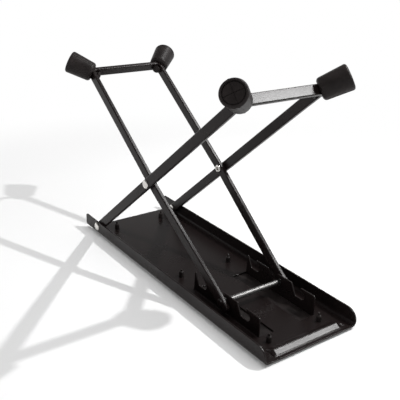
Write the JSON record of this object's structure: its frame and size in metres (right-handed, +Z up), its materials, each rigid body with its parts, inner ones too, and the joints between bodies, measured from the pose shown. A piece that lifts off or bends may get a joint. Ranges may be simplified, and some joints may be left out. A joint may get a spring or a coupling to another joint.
{
  "type": "folding guitar footrest",
  "caption": "Folding footrest for a guitarist, lying upside down: flanged steel plate with hooked rails, crossed strip frames, a latch rod and rubber feet.",
  "frame": {"origin": "on the mat's tread face, below the middle of the plate's length and width", "axes": "+X along the plate towards its notched end, +Y across the plate to the left, +Z up from the tread towards the rubber feet"},
  "size_m": [0.3212, 0.1317, 0.2146],
  "materials": {
    "black_coat": "satin black powder coat",
    "rubber": "matte black",
    "bare_steel": "bright drawn steel",
    "rivet": "bright nickel"
  },
  "bodies": {
    "plate": {"foot_plate": "black_coat", "tread_mat": "rubber", "ear_rivet_left": "rivet", "ear_rivet_right": "rivet", "ear_washer_left": "bare_steel", "ear_washer_right": "bare_steel"},
    "rear_frame": {"rear_frame": "black_coat", "rear_foot_left": "rubber", "rear_foot_right": "rubber", "cross_rivet_left": "rivet", "cross_rivet_right": "rivet"},
    "front_frame": {"front_frame": "black_coat", "latch_rod": "bare_steel", "front_foot_left": "rubber", "front_foot_right": "rubber", "cross_washer_left": "bare_steel", "cross_washer_right": "bare_steel"}
  },
  "joints": [
    {"name": "rear_hinge", "type": "hinge", "parent": "plate", "child": "rear_frame", "pos_m": [-0.1242, 0, 0.0109], "axis": [0, -1, 0], "range_deg": [0, 75]},
    {"name": "cross_hinge", "type": "hinge", "parent": "rear_frame", "child": "front_frame", "pos_m": [-0.03189, 0, 0.08929], "axis": [0, -1, 0], "range_deg": [-86.25, 0]}
  ],
  "couplings": [
    {"joint": "cross_hinge", "follows": "rear_hinge", "ratio": -1.15}
  ]
}
